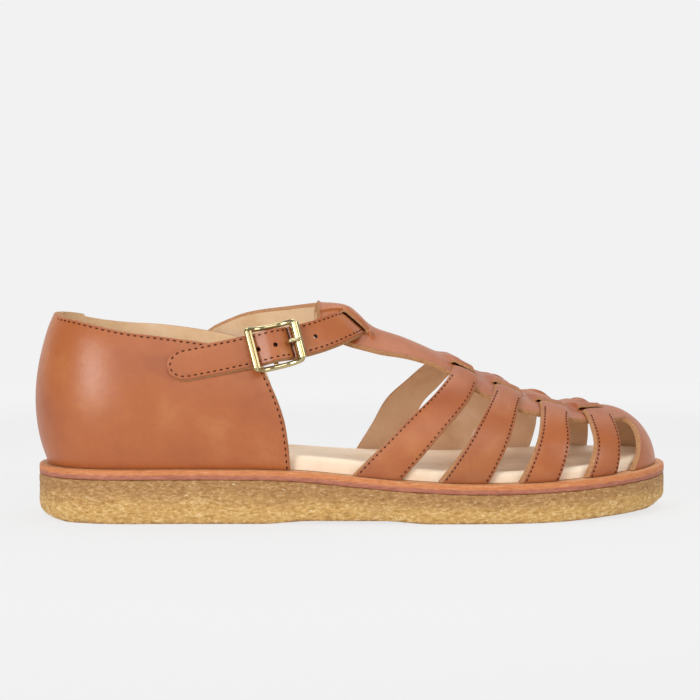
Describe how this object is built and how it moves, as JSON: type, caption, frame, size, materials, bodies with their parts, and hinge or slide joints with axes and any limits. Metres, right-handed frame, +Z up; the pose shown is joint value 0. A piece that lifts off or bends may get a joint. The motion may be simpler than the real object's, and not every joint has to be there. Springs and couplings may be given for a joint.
{
  "type": "fisherman sandal",
  "caption": "Right fisherman sandal with a closed toe, woven side straps, a T-bar, a buckled ankle strap and a crepe sole, for wearing or display.",
  "frame": {"origin": "on the floor under the middle of the sandal's box", "axes": "+X to the toe, +Y to the medial side, +Z up"},
  "size_m": [0.2774, 0.0976, 0.0921],
  "materials": {
    "crepe": "mottled plantation crepe, matt",
    "midsole_leather": "waxed and burnished edge",
    "lining_leather": "smooth undyed lining leather",
    "upper_leather": "smooth vegetable tanned, softly waxed",
    "buckle_brass": "polished pale brass"
  },
  "bodies": {
    "root": {"outsole": "crepe", "midsole": "midsole_leather", "insole": "lining_leather", "vamp": "upper_leather", "quarter": "upper_leather", "buckle_frame": "buckle_brass", "buckle_roller": "buckle_brass", "buckle_prong": "buckle_brass"}
  },
  "joints": []
}
